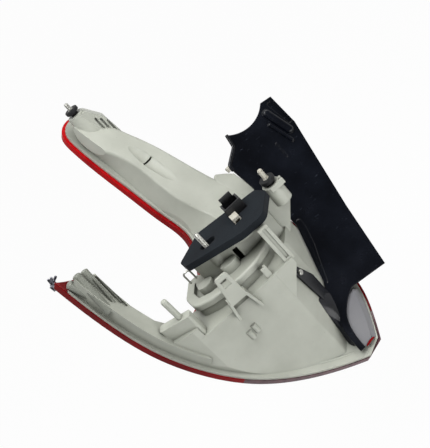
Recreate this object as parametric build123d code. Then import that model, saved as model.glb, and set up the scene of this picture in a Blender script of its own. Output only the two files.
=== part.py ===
from build123d import *
import math
import os

# Tail light cluster, millimetres. +Z runs along the fixing studs, into the car body. The origin lies on
# the main stud's axis, on the housing's pad face under the foam gasket.

# Lens face: a barrel of large radius on a raked axis
RAKE = 40.0
BARREL_X = 90.0
BARREL_DEPTH = 100.0
BARREL_R = 240.0
BARREL_BULGE = 1500.0
BARREL_LOW = -230.0
BARREL_HIGH = 340.0
DRAW_ANGLE = 35.0
DRAW_REACH = 312.0

# Lens edge, each point an angle round the barrel and a station along its axis
LOWER_EDGE = [(80.3, 63), (71.7, 12.6), (63, -39), (52.8, -84), (41.9, -121), (29.5, -150), (16.3, -173)]
LOWER_EDGE += [(11.6, -180)]
INBOARD_EDGE = [(6, -173), (2.5, -146), (-0.5, -113), (-1, -60), (1, 20), (7, 95), (12.8, 168), (18.8, 225)]
INBOARD_EDGE += [(23, 260)]
ARM_TIP = [(28.5, 295), (35, 295)]
UPPER_GAP_EDGE = [(39.7, 279), (39.3, 256), (35.9, 210), (32.4, 163), (29.3, 115), (27.4, 78), (30, 40)]
LOWER_GAP_EDGE = [(36, 5), (45, -18), (52.5, -11), (58.5, 25), (61.5, 56), (64, 77)]
GAP_EDGE = UPPER_GAP_EDGE + LOWER_GAP_EDGE
CLEAR_EDGE = [(44, -92), (30, -114), (14, -134), (0, -142)]
LENS_WALL = 3.0
LENS_RIM = 8.0
LENS_RIM_WALL = 5.0

# Housing shell
WALL = 2.6
FLANGE = 3.5
FLANGE_REVEAL = 4.0
FLANGE_LOWER_REVEAL = 0.8
WALL_INSET = 6.5
DECK_Z = -47.0
BODY_NEAR = [(-103, -32), (-72, -45), (32, -50), (66, -14), (88, 25)]
BODY_FAR = [(84, 84), (44, 112), (-8, 112), (-34, 66), (-60, 38), (-90, 12)]
BODY_PLAN = BODY_NEAR + BODY_FAR
LEDGE_PLAN = [(-103, -32), (-72, -45), (-65, -45), (-65, -6), (-90, -2)]
LEDGE_Z = -34.0
GUSSET_FACE = [(20, -47), (58, -47), (58, -56), (52, -63), (34, -88), (20, -100)]
GUSSET_NEAR = -48.5
GUSSET_FAR = -26.0
BODY_ROUND = 7.0

# Upper arm, at stations along the rake: lens edge left, ridge, top right, lens edge right, depth of the top
UPPER_ARM = {
    36: (-8, 26, 74, 84, 60),
    92: (-11, 17, 64, 67, 40),
    138: (-17, 6, 49, 52, 40),
    185: (-23, -2, 35, 37, 40),
    222: (-28, -21, 20, 23, 38),
    266: (-30, -24, 5, 8, 34),
}
ARM_ROUND = 4.0
ARM_START_DEPTH = 11.0
ARM_OVERRUN = 0.35
ARM_TOP_DEPTH = 41.2
RECESS_ENDS = [(9.5, 209.0), (23.8, 131.0)]
RECESS_WIDTH = 9.0
RECESS_DEPTH = 4.0
RECESS_SLOT = (2.4, 15.0)
RECESS_SLOT_DEPTH = 5.0
RECESS_SLOT_SHIFT = -4.6

# Lower arm: its inner side and ends in the lens plane, and the depth of its top
LOWER_ARM_END = 50.0
LOWER_ARM_INNER = [(-119, LOWER_ARM_END), (-114, 36), (-106, 11), (-92, -14), (-70, -30), (-60, -120)]
LOWER_ARM_SIDE = LOWER_ARM_INNER + [(-200, -120), (-200, LOWER_ARM_END)]
LOWER_ARM_DEPTH = 27.0
TIP_X = -100.0
TIP_SIZE = 100.0

# Organ ribs on the lower arm's end
PIPES = [((80.0, 53.7, 16), (71.5, 24, 19)), ((80.1, 53.9, 28), (73, 12, 21.5))]
PIPES += [((75.2, 60.4, 29.5), (69.5, 16, 21.5))]
FINS = [((72.9, 59.5, 28.5), (68.6, 22, 24)), ((71.0, 58.5, 28), (66.6, 20, 24))]
PIPE_R = 4.4
FIN_R = 2.3
RIB_ROUND = 0.6

# Tower and foam gasket
GASKET_PLAN = [(-34, 9), (-31, -5), (35, -34), (65, -37), (87, -2), (79, 17), (1, 34)]
GASKET_BULGE_R = 14.0
GASKET_THICK = 8.0
GASKET_ROUND = 5.0
PAD_INSET = 2.5
TOWER_TOP = 3.0
TOWER_PLAN = [(-28, 10), (-22, 1), (22, -13), (44, -11), (74, 4), (77, 13), (2, 28), (-8, 28)]
TOWER_ROUND = 3.0
TOWER_SLOT_AT = (20.0, -12.0, -21.0)
TOWER_SLOT = (6.0, 8.0, 18.0)
GASKET_SLOT = (20.0, 11.0)
GASKET_SLOT_X = 3.0

# Studs, M6, each with its grommet where it has one
STUD_R = 3.0
STUD_SHOW = 18.0
STUD_TIP = 1.2
SHOULDER_R = 3.6
HEAD_R = 6.0
HEAD_H = 4.0
STUD_BOSS_R = 8.5
STUD_BOSS_H = 14.0
ARM_STUD = (-12.0, 237.0, 146.0)
ARM_BOSS_R = 11.0
ARM_BOSS_FOOT_R = 17.0
ARM_BOSS_H = 46.0
SHOULDER_FACE = [(-12, 143), (0, 143), (13.5, 121), (17.5, 76), (-12, 76)]
SHOULDER_Y = (226.0, 248.0)
GROOVE = (2.6, 8.0, 46.0)
GROOVE_TOPS = [(3.0, 128.0), (8.0, 123.0), (13.0, 116.0)]
INBOARD_STUD = (96.5, 10.0, 4.0)
GROMMET_R = 9.0
GROMMET_H = 5.0
GROMMET_NECK_R = 5.0
GROMMET_NECK_H = 3.5
GROMMET_ROUND = 1.2

# Inboard wing: a gusset plate with the stud's round boss at its top
WING_FACE = [(58, -90), (58, -30), (84, -6), (88, 3), (110, 3), (105, -8), (105, -22), (72, -66), (62, -92)]
WING_NEAR = 8.0
WING_THICK = 4.0
WING_BOSS_R = 10.5
WING_BOSS_H = 26.0
WING_LIP = (18.0, 4.0, 6.0)

# Bulb carrier: a crescent lid in front of the tower
CARRIER_LIP = [(-46, 30), (-58, 6), (-55, -19), (-34, -30), (2, -37), (26, -35), (46, -25), (60, -10)]
CARRIER_BACK = [(60, 16), (-20, 16), (-32, 30)]
CARRIER_ROUND = 14.0
LID_TOP = -28.0
LID_LOW = -36.0
LID_ROUND = 2.6
WELL_RIM = 11.5
WELL_DEPTH = 5.5
WELL_RIGHT = -9.0
WELL_REACH = 200.0
CARRIER_GAP = 0.6
PAD_LEFT = (-29.0, -6.0)
PAD_RIGHT = (5.0, -15.0)
PAD_LEFT_SIZE = (19.5, 14.0)
PAD_RIGHT_SIZE = (21.0, 12.0)
PAD_LEFT_TOP = -22.0
PAD_RIGHT_TOP = -17.0
COLLAR_INSET = 2.0
SEAL_H = 1.0
SOCKET_LEFT = (-37.0, -12.0)
SOCKET_RIGHT = (5.0, -22.3)
SOCKET_R = 8.4
SOCKET_H = 13.0
BULB_BASE_R = 7.0
BULB_BASE_H = 14.0
BULB_R = 12.0
BULB_H = 34.0
BULB_ROUND = 11.4

# Latch that holds the carrier
FRONT_Y = -47.0
LATCH_FACE = [(-23, -37), (-17.6, 0), (-2.3, -0.5), (-1.4, -38)]
LATCH_THICK = 2.4
LATCH_STAND = 6.5
LATCH_WINDOW = (8.5, 9.5)
LATCH_WINDOW_AT = (-10.4, -11.0)
LATCH_LEGS = [((-22.2, -34), (-26, -56)), ((-2.4, -35), (2, -62))]
LATCH_LEG = 3.2

# Small features of the front wall and deck
BAR_AT = (55.0, -43.0)
BAR_SIZE = (12.0, 7.0)
BAR_TOP = -1.0
BAR_GROOVE = 4.0
HOOK_AT = (28.0, -44.0)
HOOK_SIZE = (7.0, 6.0, 13.0)
CRADLE_AT = [(-29.0, -84.0), (-21.0, -81.0)]
CRADLE_R = 3.4
CRADLE_H = 11.0
BLOCK_PLAN = [(-98.5, -28), (-62, -44), (-57.2, -33), (-93.7, -17)]
BLOCK_TOP = -17.0
BLOCK_ROUND = 3.0
PIN_AT = (-71.0, -33.0)
PIN_R = 3.6
PIN_TOP = 12.0
PIN_ROUND = 2.16

# Plug
PLUG_AT = (50.0, 8.0)
PLUG_SIZE = (22.0, 16.0)
PLUG_TOP = 22.0
PLUG_WALL = 2.2
PLUG_FLOOR = 6.0
HOOD_SIZE = (15.0, 5.0)
HOOD_TOP = 29.0
PIN_COUNT = 4
PIN_PITCH = 4.2
BLADE = (2.8, 0.8)
BLADE_TOP = 18.0
LOCK_SIZE = (9.0, 12.0, 6.0)
LOCK_X = 38.5
LOCK_SLOT = (6.0, 2.4)

# Trim panel, drawn in its own plane
TRIM_ORIGIN = (87.5, -25.0, -145.5)
TRIM_TURN = 12.0
TRIM_TILT = 31.0
TRIM_THICK = 2.5
TRIM_RIGHT = [(0, 0), (46.5, -11.6), (69, 64.6), (106, 173.5), (110, 214), (95.6, 217.5)]
TRIM_SCALLOP = [(95.6, 217.5), (68, 208.5), (39.3, 221.6)]
TRIM_LIP = [(39.3, 221.6), (34.3, 206.4), (14.1, 195.5), (12.5, 188)]
TRIM_LEFT = TRIM_LIP + [(12.5, 158), (8, 140), (15, 117), (12.5, 92), (-1, 62), (-10, 43), (-15.5, 29.5)]
TRIM_LEFT += [(-27, 14)]
TRIM_TAIL = [(-27, 14), (-29, -2), (-40, -16), (-46, -34), (-49, -53)]
TRIM_TAIL_BACK = [(-42, -54), (-39, -37), (-31, -19), (-15, -6), (0, 0)]
TRIM_BARS = [((90.2, 209), (95, 167), 10.0, 4.5), ((82.4, 194), (87.1, 159), 4.5, 3.0)]
TRIM_BARS += [((71, 173), (67.6, 152), 2.4, 1.0)]
TRIM_POCKET = [(99.5, 211), (106, 210.5), (104, 176), (100.5, 177)]
TRIM_POCKET_DEPTH = 1.2
BAR_ROUND = (0.4, 0.8)
BEAD_R = 2.0
BEAD_BEND = 5.0
BEAD_LIFT = 0.5
TAB_FACE = [(23, -74), (30, -67), (44, -100), (44, -134), (30, -134)]
TAB_GAP = 0.3
SCREW_AT = (30.0, -80.0)
SCREW_HEAD_R = 3.6
SCREW_HEAD_H = 2.2
SCREW_HEAD_ROUND = 1.3
SCREW_R = 1.9
SCREW_LENGTH = 9.0
TRIM_CLIP_AT = (14.0, 194.0)
TRIM_CLIP_SIZE = (9.0, 6.0, 7.0)

# Side cover under the trim
COVER_DROP = 0.5
COVER_WALL = 2.0
COVER_REACH = 90.0
COVER_FACE = [(1, -3), (-14, -3), (-31, -14), (-38, -31), (-43, -53), (-30, -55), (-17.6, -37)]

# Small metal parts
WIRE_R = 1.1
WIRE_BEND = 3.0
WIRE_CLIP = (8.5, 15.0)
WIRE_CLIP_AT = (-42.0, 25.0)
TIP_CLIP_SPAN = (1.5, 9.0)
TIP_CLIP_DEPTH = (2.0, 7.0)
TIP_CLIP_REACH = 7.0
TIP_CLIP_THICK = 1.2

# Reflector
REFLECTOR_DEPTH = 20.0
REFLECTOR_THICK = 2.0
BOWL_NECK_R = 15.0
BOWL_MOUTH_R = 42.0
BOWL_TOP = -56.0
BOWL_H = 70.0

SIN = math.sin(math.radians(RAKE))
COS = math.cos(math.radians(RAKE))
RAKE_AXIS = Vector(0, COS, SIN)
INWARD = Vector(0, -SIN, COS)
BARREL_CENTRE = Vector(BARREL_X, 0, 0) + INWARD * BARREL_DEPTH
DRAW = Vector(math.sin(math.radians(DRAW_ANGLE)), 0, 0) + INWARD * math.cos(math.radians(DRAW_ANGLE))
LENS_PLANE = Plane(origin=BARREL_CENTRE, x_dir=RAKE_AXIS.cross(DRAW), z_dir=DRAW)
TRIM_X = Vector(math.cos(math.radians(TRIM_TURN)), math.sin(math.radians(TRIM_TURN)), 0)
TRIM_NORMAL = TRIM_X.cross(Vector(0, 0, 1)) * math.cos(math.radians(TRIM_TILT))
TRIM_NORMAL += Vector(0, 0, 1) * math.sin(math.radians(TRIM_TILT))
TRIM_PLANE = Plane(origin=TRIM_ORIGIN, x_dir=TRIM_X, z_dir=TRIM_NORMAL)
SIDE_RUN = (Vector(*BODY_PLAN[3]) - Vector(*BODY_PLAN[2])).normalized()
SIDE_PLANE = Plane(origin=Vector(*BODY_PLAN[2]), x_dir=SIDE_RUN, z_dir=SIDE_RUN.cross(Vector(0, 0, 1)))


def barrel_radius(station):
    return BARREL_R - station ** 2 / (2 * BARREL_BULGE)


def skin(angle, station, depth=0.0):
    """Point of the lens face, moved inwards by a depth."""
    radius = barrel_radius(station) - depth
    turn = math.radians(angle)
    across = Vector(-radius * math.sin(turn), 0, 0) - INWARD * (radius * math.cos(turn))
    return BARREL_CENTRE + across + RAKE_AXIS * station


def flat(angle, station):
    """Lens face point as seen along the draw direction."""
    return -barrel_radius(station) * math.sin(math.radians(angle - DRAW_ANGLE)), station


def barrel(depth):
    """Solid inside the lens face, its skin moved inwards by a depth."""
    low = barrel_radius(BARREL_LOW) - depth
    high = barrel_radius(BARREL_HIGH) - depth
    stave = ThreePointArc((low, BARREL_LOW), (BARREL_R - depth, 0), (high, BARREL_HIGH))
    rest = Polyline((high, BARREL_HIGH), (0, BARREL_HIGH), (0, BARREL_LOW), (low, BARREL_LOW))
    plane = Plane(origin=BARREL_CENTRE, x_dir=(-1, 0, 0), z_dir=RAKE_AXIS)
    return plane * revolve(Plane.XZ * make_face([stave, rest]), Axis.Z)


def inset_chain(points, insets):
    """Closed chain of points, each moved inwards by its own inset along the mitre of its two sides."""
    moved = []
    for i, point in enumerate(points):
        here = Vector(*point)
        before = (here - Vector(*points[i - 1])).normalized()
        after = (Vector(*points[(i + 1) % len(points)]) - here).normalized()
        mitre = (before + after) / (1 + before.dot(after))
        moved.append(here + Vector(-mitre.Y, mitre.X) * insets[i])
    return moved


def lens_face(inset=0.0, lower_inset=None):
    """C-shaped face of the lens in the lens plane, set in from its edge, otherwise along the lower edge."""
    lower = [flat(*p) for p in LOWER_EDGE]
    upper = [flat(*p) for p in INBOARD_EDGE + ARM_TIP + GAP_EDGE]
    first = inset if lower_inset is None else lower_inset
    chain = inset_chain(lower + upper, [first] * len(lower) + [inset] * len(upper))
    below = Spline(*chain[:len(lower)])
    above = Spline(*chain[len(lower):])
    return make_face([below, Line(below @ 1, above @ 0), above, Line(above @ 1, below @ 0)])


def draw_out(face):
    """Face in the lens plane, drawn out through the lens."""
    return LENS_PLANE * extrude(face, amount=-DRAW_REACH)


def prism(inset=0.0):
    """Column of the lens outline along the draw direction."""
    return draw_out(lens_face(inset))


def rounded(points, radius):
    """Face of a polygon with rounded corners."""
    face = make_face(Polyline(*points, close=True))
    return fillet(face.vertices(), radius)


def column(face, low, high):
    """Face in plan, drawn up from a low to a high level."""
    return Pos(0, 0, low) * extrude(face, amount=high - low)


def upright(points, near, far):
    """Outline in X and Z, drawn back from a near to a far Y."""
    face = make_face(Polyline(*points, close=True))
    return Pos(0, near, 0) * extrude(Plane.XZ * face, amount=-(far - near))


def bare_tip(start):
    """Room round the lens tip beyond a station of the lower arm."""
    face = Pos(TIP_X, start) * Rectangle(TIP_SIZE, TIP_SIZE, align=(Align.MAX, Align.MIN))
    return draw_out(face)


def lens_parts():
    """Red lens and clear section: a thin dish with a rim all round and a solid tip on the lower arm."""
    rim = (barrel(0) - barrel(LENS_RIM)) & prism()
    dish = rim - ((prism(LENS_RIM_WALL) & barrel(LENS_WALL)) - bare_tip(LOWER_ARM_END - LENS_RIM_WALL))
    split = Spline(*[flat(*p) for p in CLEAR_EDGE])
    left = flat(*CLEAR_EDGE[0])
    right = flat(*CLEAR_EDGE[-1])
    ends = Polyline(right, (right[0] + LENS_RIM, BARREL_LOW), (left[0], BARREL_LOW), left)
    window = draw_out(make_face([split, ends]))
    return dish - window, dish & window


def upper_arm_section(station, corners, inset):
    """Section of the upper arm: lens edge, ridge, top right and lens edge again."""
    left, ridge, right, foot, depth = corners
    radius = barrel_radius(station)

    def corner(x, below):
        return Vector(x, BARREL_DEPTH - math.sqrt((radius - below) ** 2 - (BARREL_X - x) ** 2))

    tops = [corner(ridge, depth), corner(right, depth)]
    feet = [corner(left, ARM_START_DEPTH), corner(foot, ARM_START_DEPTH)]
    feet = [low + (low - top) * ARM_OVERRUN for low, top in zip(feet, tops)]
    face = make_face(Polyline(feet[0], tops[0], tops[1], feet[1], close=True))
    face = fillet(face.vertices().sort_by(Axis.Y)[-2:], ARM_ROUND)
    if inset:
        face = offset(face, amount=-inset, kind=Kind.INTERSECTION)
    plane = Plane(origin=Vector(0, 0, 0) + RAKE_AXIS * station, x_dir=(1, 0, 0), z_dir=-RAKE_AXIS)
    return plane * face


def upper_arm(inset=0.0):
    stations = list(UPPER_ARM)
    ends = {stations[0]: inset, stations[-1]: -inset}
    return loft([upper_arm_section(s + ends.get(s, 0.0), c, inset) for s, c in UPPER_ARM.items()])


def arm_top(x, station):
    """Point on the upper arm's top."""
    radius = barrel_radius(station) - ARM_TOP_DEPTH
    drop = math.sqrt(radius ** 2 - (BARREL_X - x) ** 2)
    return Vector(x, 0, 0) + INWARD * (BARREL_DEPTH - drop) + RAKE_AXIS * station


def arm_recess(grow=0.0):
    """Boat-shaped recess in the upper arm's top: a spindle whose axis stands above the face, and a slot."""
    first, last = (arm_top(*p) for p in RECESS_ENDS)
    half = (last - first).length / 2
    radius = (RECESS_WIDTH ** 2 + RECESS_DEPTH ** 2) / (2 * RECESS_DEPTH)
    lift = radius - RECESS_DEPTH
    ends = [(half, lift + grow), (half, 0), (-half, 0), (-half, lift + grow)]
    profile = [ThreePointArc(ends[-1], (0, radius + grow), ends[0]), Polyline(*ends)]
    middle = (first + last) / 2
    along = (last - first).normalized()
    normal = BARREL_CENTRE + RAKE_AXIS * middle.dot(RAKE_AXIS) - middle
    normal = (normal - along * normal.dot(along)).normalized()
    seat = Plane(origin=middle + normal * lift, x_dir=along, z_dir=normal)
    spindle = revolve(make_face(profile), Axis.X)
    size = [side + 2 * grow for side in RECESS_SLOT]
    slot = Box(*size, radius + RECESS_SLOT_DEPTH + grow, align=(Align.CENTER, Align.CENTER, Align.MAX))
    return seat * (spindle + Pos(RECESS_SLOT_SHIFT, 0) * slot)


def lower_arm(inset=0.0):
    """Lower arm: a column of the lens outline up to a curved top at constant depth."""
    side = make_face(Polyline(*LOWER_ARM_SIDE, close=True))
    if inset:
        side = offset(side, amount=-inset, kind=Kind.INTERSECTION)
    return draw_out(lens_face(WALL_INSET + inset) & side) - barrel(LOWER_ARM_DEPTH - inset)


def organ_ribs():
    """Round pipes and thin fins on the lower arm's end, which sink into it."""
    ribs = []
    for radius, runs in ((PIPE_R, PIPES), (FIN_R, FINS)):
        for head, foot in runs:
            top = skin(*head)
            run = top - skin(*foot)
            rib = Cylinder(radius, run.length, align=(Align.CENTER, Align.CENTER, Align.MAX))
            rib = fillet(rib.edges().sort_by(Axis.Z)[-1:], radius * RIB_ROUND)
            ribs.append(Plane(origin=top, z_dir=run) * rib)
    return ribs


def gasket_face(inset=0.0):
    """Half-moon of the gasket in plan, with its bulge on the near side."""
    face = make_face(Polyline(*GASKET_PLAN, close=True))
    rest = face.vertices().sort_by(Axis.Y)[2:]
    face = fillet(rest, GASKET_ROUND)
    face = fillet(face.vertices().sort_by(Axis.Y)[:2], GASKET_BULGE_R)
    return offset(face, amount=-inset, kind=Kind.INTERSECTION) if inset else face


def gasket_slot():
    return Pos(GASKET_SLOT_X, 0) * SlotOverall(*GASKET_SLOT)


def foam_gasket():
    """Foam half-moon with a slot round the stud and a cut-out round the plug and its lock."""
    face = gasket_face() - gasket_slot() - plug_hole(0) - lock_face()
    return column(face, 0, GASKET_THICK)


def plug_hole(clearance):
    return Pos(*PLUG_AT) * Rectangle(PLUG_SIZE[0] + 2 * clearance, PLUG_SIZE[1] + 2 * clearance)


def tower_face(inset=0.0):
    face = rounded(TOWER_PLAN, TOWER_ROUND)
    return offset(face, amount=-inset, kind=Kind.INTERSECTION) if inset else face


def tower():
    """Column under the gasket with a wider pad on top."""
    return column(tower_face(), DECK_Z - WALL, -TOWER_TOP) + column(gasket_face(PAD_INSET), -TOWER_TOP, 0)


def wing():
    """Gusset plate, with the inboard stud's boss and a lip at its top."""
    plate = upright(WING_FACE, WING_NEAR, WING_NEAR + WING_THICK)
    x, y, top = INBOARD_STUD
    lower = (Align.CENTER, Align.CENTER, Align.MAX)
    boss = Pos(x, y, top) * Cylinder(WING_BOSS_R, WING_BOSS_H, align=lower)
    lip = Box(*WING_LIP, align=(Align.CENTER, Align.MIN, Align.MAX))
    lip = Pos(x + WING_LIP[1], y - WING_BOSS_R, top) * lip
    return plate + boss + lip


def latch():
    """Latch bracket: a plate with a window, on two splayed legs down the front wall."""
    near = FRONT_Y - LATCH_STAND - LATCH_THICK
    plate = upright(LATCH_FACE, near, near + LATCH_THICK)
    tops = plate.edges().filter_by(Axis.Y).sort_by(Axis.Z)[-2:]
    plate = fillet(tops, LATCH_LEG)
    x, z = LATCH_WINDOW_AT
    plate -= Pos(x, near, z) * Box(LATCH_WINDOW[0], 3 * LATCH_THICK, LATCH_WINDOW[1])
    legs = []
    for head, foot in LATCH_LEGS:
        line = Vector(*foot) - Vector(*head)
        side = Vector(-line.Y, line.X).normalized() * (LATCH_LEG / 2)
        corners = [Vector(*head) + side, Vector(*foot) + side, Vector(*foot) - side, Vector(*head) - side]
        legs.append(upright([(p.X, p.Y) for p in corners], near, FRONT_Y + 2 * WALL))
    return plate + legs


def deck_details():
    """Guide bar, hook, round cradle ribs and the locating pin."""
    low = (Align.CENTER, Align.CENTER, Align.MIN)
    foot = DECK_Z - WALL
    bar = Pos(*BAR_AT, foot) * Box(*BAR_SIZE, BAR_TOP - foot, align=low)
    groove = Pos(BAR_AT[0], BAR_AT[1] - BAR_SIZE[1] / 2, DECK_Z + WALL)
    bar -= groove * Box(BAR_GROOVE, BAR_GROOVE, BAR_TOP - DECK_Z, align=low)
    hook = Pos(*HOOK_AT, foot) * Box(*HOOK_SIZE[:2], HOOK_SIZE[2] + WALL, align=low)
    hook -= Pos(HOOK_AT[0] - WALL, HOOK_AT[1] + WALL, DECK_Z) * Box(*HOOK_SIZE, align=low)
    cradles = [Pos(x, FRONT_Y, z) * Cylinder(CRADLE_R, CRADLE_H) for x, z in CRADLE_AT]
    pin = Pos(*PIN_AT, BLOCK_TOP - WALL) * Cylinder(PIN_R, PIN_TOP - BLOCK_TOP + WALL, align=low)
    pin = fillet(pin.edges().sort_by(Axis.Z)[-1:], PIN_ROUND)
    return [bar, hook, pin] + cradles


def block(inset=0.0):
    """Block behind the lower arm that carries the locating pin."""
    face = rounded(BLOCK_PLAN, BLOCK_ROUND)
    if inset:
        face = offset(face, amount=-inset, kind=Kind.INTERSECTION)
    return column(face, DECK_Z - WALL - inset, BLOCK_TOP - inset)


def gusset():
    """Corner under the guide bar, raked down to the body's ridge."""
    return upright(GUSSET_FACE, GUSSET_NEAR, GUSSET_FAR)


def arm_boss():
    """Flared boss on the upper arm's tip, along the stud, with a grooved shoulder on its inboard side."""
    cone = Cone(ARM_BOSS_FOOT_R, ARM_BOSS_R, ARM_BOSS_H, align=(Align.CENTER, Align.CENTER, Align.MAX))
    shoulder = upright(SHOULDER_FACE, *SHOULDER_Y)
    for x, top in GROOVE_TOPS:
        shoulder -= Pos(x, SHOULDER_Y[0], top) * Box(*GROOVE, align=(Align.CENTER, Align.CENTER, Align.MAX))
    return Pos(*ARM_STUD) * cone + shoulder


def carrier_face(inset=0.0):
    """Crescent of the carrier in plan; its back follows the tower with a gap."""
    face = make_face(Polyline(*CARRIER_LIP, *CARRIER_BACK, close=True))
    lip = [v for v in face.vertices() if (v.X, v.Y) in CARRIER_LIP[1:-1]]
    face = fillet(lip, CARRIER_ROUND)
    if inset:
        face = offset(face, amount=-inset, kind=Kind.INTERSECTION)
    cut = face - offset(tower_face(), amount=CARRIER_GAP + inset, kind=Kind.INTERSECTION)
    return cut.faces().sort_by(SortBy.AREA)[-1]


def carrier():
    """Flat lid with a well round the left grip pad, two grip pads and the bulb sockets below."""
    lid = column(carrier_face(), LID_LOW, LID_TOP)
    tops = lid.edges().group_by(Axis.Z)[-1]
    lid = fillet(tops.sort_by(Axis.Y)[:1], LID_ROUND)
    left = Pos(WELL_RIGHT, 0) * Rectangle(WELL_REACH, WELL_REACH, align=(Align.MAX, Align.CENTER))
    lid -= column(carrier_face(WELL_RIM) & left, LID_TOP - WELL_DEPTH, 0)
    pads = ((PAD_LEFT, PAD_LEFT_SIZE, PAD_LEFT_TOP), (PAD_RIGHT, PAD_RIGHT_SIZE, PAD_RIGHT_TOP))
    for at, size, top in pads:
        lid += column(Pos(*at) * Ellipse(size[0] / 2, size[1] / 2), LID_LOW, top)
    for at in (SOCKET_LEFT, SOCKET_RIGHT):
        ring = Circle(SOCKET_R) - Circle(BULB_BASE_R)
        lid += column(Pos(*at) * ring, LID_LOW - SOCKET_H, LID_LOW)
    return lid


def carrier_seal():
    collar, port = collar_faces()
    return column(collar - port, LID_LOW - SEAL_H, LID_LOW)


def carrier_clip():
    """Wire loop that stands on the carrier's left end."""
    x, y = WIRE_CLIP_AT
    wide, high = WIRE_CLIP
    foot = LID_TOP
    corners = [(x, y, foot), (x, y, foot + high), (x + wide, y, foot + high), (x + wide, y, foot)]
    path = FilletPolyline(*corners, radius=WIRE_BEND)
    return sweep(Plane(origin=path @ 0, z_dir=path % 0) * Circle(WIRE_R), path=path)


def bulb(at):
    """Bayonet bulb, base up in its socket."""
    low = (Align.CENTER, Align.CENTER, Align.MAX)
    base = Pos(*at, LID_LOW) * Cylinder(BULB_BASE_R, BULB_BASE_H, align=low)
    neck = LID_LOW - BULB_BASE_H
    glass = Pos(*at, neck) * Cylinder(BULB_R, BULB_H, align=low)
    glass = fillet(glass.edges().filter_by(GeomType.CIRCLE).sort_by(Axis.Z)[:1], BULB_ROUND)
    glass = chamfer(glass.edges().filter_by(GeomType.CIRCLE).sort_by(Axis.Z)[-1:], BULB_R - BULB_BASE_R)
    return base + glass


def collar_faces():
    outer = carrier_face(COLLAR_INSET)
    return outer, carrier_face(COLLAR_INSET + WALL)


def interior():
    """Hollow of the lamp behind the lens, up to the deck and along both arms."""
    inside = offset(rounded(BODY_PLAN, BODY_ROUND), amount=-WALL, kind=Kind.INTERSECTION)
    hollow = column(inside, BARREL_LOW, DECK_Z - WALL) + upper_arm(WALL) + lower_arm(WALL) + block(WALL)
    return (hollow & prism(WALL_INSET + WALL)) - arm_recess(WALL)


def housing(hollow, studs):
    ledge = make_face(Polyline(*LEDGE_PLAN, close=True))
    low = BARREL_LOW
    collar, port = collar_faces()
    body = column(rounded(BODY_PLAN, BODY_ROUND), low, DECK_Z) + column(ledge, low, LEDGE_Z)
    outer = (body + upper_arm() + lower_arm()) & prism(WALL_INSET)
    outer += [block(), gusset(), tower(), column(collar, DECK_Z - WALL, LID_LOW - SEAL_H), arm_boss()]
    outer += organ_ribs()
    flange = draw_out(lens_face(FLANGE_REVEAL, FLANGE_LOWER_REVEAL)) - barrel(LENS_RIM + FLANGE)
    outer += flange - bare_tip(LOWER_ARM_END)
    outer &= barrel(LENS_RIM)

    passage = column(tower_face(2 * WALL) + port, DECK_Z - 3 * WALL, DECK_Z) & prism(WALL_INSET + WALL)
    rooms = column(tower_face(WALL), DECK_Z, -TOWER_TOP - WALL) + column(port, DECK_Z, 0)
    shell = outer - hollow - passage - rooms - arm_recess() - Pos(*TOWER_SLOT_AT) * Box(*TOWER_SLOT)
    shell += deck_details() + [latch(), wing()]
    shell += Cylinder(STUD_BOSS_R, STUD_BOSS_H + HEAD_H, align=(Align.CENTER, Align.CENTER, Align.MAX))
    for item in studs:
        shell -= item
    return shell


def reflector(hollow):
    """Mirror layer behind the lens, with a bowl round each bulb."""
    layer = barrel(REFLECTOR_DEPTH) - barrel(REFLECTOR_DEPTH + REFLECTOR_THICK)
    lower = (Align.CENTER, Align.CENTER, Align.MAX)
    for at in (SOCKET_LEFT, SOCKET_RIGHT):
        bowl = Pos(*at, BOWL_TOP) * Cone(BOWL_MOUTH_R, BOWL_NECK_R, BOWL_H, align=lower)
        layer += bowl & barrel(REFLECTOR_DEPTH)
    for at in (SOCKET_LEFT, SOCKET_RIGHT):
        inner = Cone(BOWL_MOUTH_R - REFLECTOR_THICK, BOWL_NECK_R - REFLECTOR_THICK, BOWL_H, align=lower)
        layer -= Pos(*at, BOWL_TOP) * inner
    return layer & hollow


def plug():
    """Plug shell through the gasket, open at the top, with a hood at the back."""
    outer = plug_hole(0)
    inner = plug_hole(-PLUG_WALL)
    shell = column(outer, 0, PLUG_TOP) - column(inner, PLUG_FLOOR, PLUG_TOP)
    back = PLUG_AT[1] + PLUG_SIZE[1] / 2 - HOOD_SIZE[1] / 2
    hood = Pos(PLUG_AT[0], back) * Rectangle(*HOOD_SIZE) - inner
    return shell + column(hood, PLUG_FLOOR, HOOD_TOP)


def plug_pins():
    blades = []
    for i in range(PIN_COUNT):
        x = PLUG_AT[0] + (i - (PIN_COUNT - 1) / 2) * PIN_PITCH
        blades.append(column(Pos(x, PLUG_AT[1]) * Rectangle(*BLADE), PLUG_FLOOR, BLADE_TOP))
    return Compound(children=blades)


def lock_face():
    near = PLUG_AT[1] - PLUG_SIZE[1] / 2
    return Pos(LOCK_X, near) * Rectangle(*LOCK_SIZE[:2], align=(Align.MIN, Align.MAX))


def plug_lock():
    """Lock tongue in front of the plug, through the gasket."""
    near = PLUG_AT[1] - PLUG_SIZE[1] / 2
    body = column(lock_face(), 0, GASKET_THICK + LOCK_SIZE[2])
    middle = LOCK_X + LOCK_SIZE[0] / 2
    slot = Box(LOCK_SLOT[0], LOCK_SIZE[1], 2 * LOCK_SLOT[1])
    slot = Pos(middle, near - LOCK_SIZE[1], GASKET_THICK) * slot
    return body - slot


def lip_bead():
    """Round bead along the trim's upper lip."""
    path = FilletPolyline(*TRIM_LIP, radius=BEAD_BEND)
    bead = sweep(Plane(origin=path @ 0, z_dir=path % 0) * Circle(BEAD_R), path=path)
    return TRIM_PLANE * Pos(0, 0, BEAD_LIFT) * bead


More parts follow.
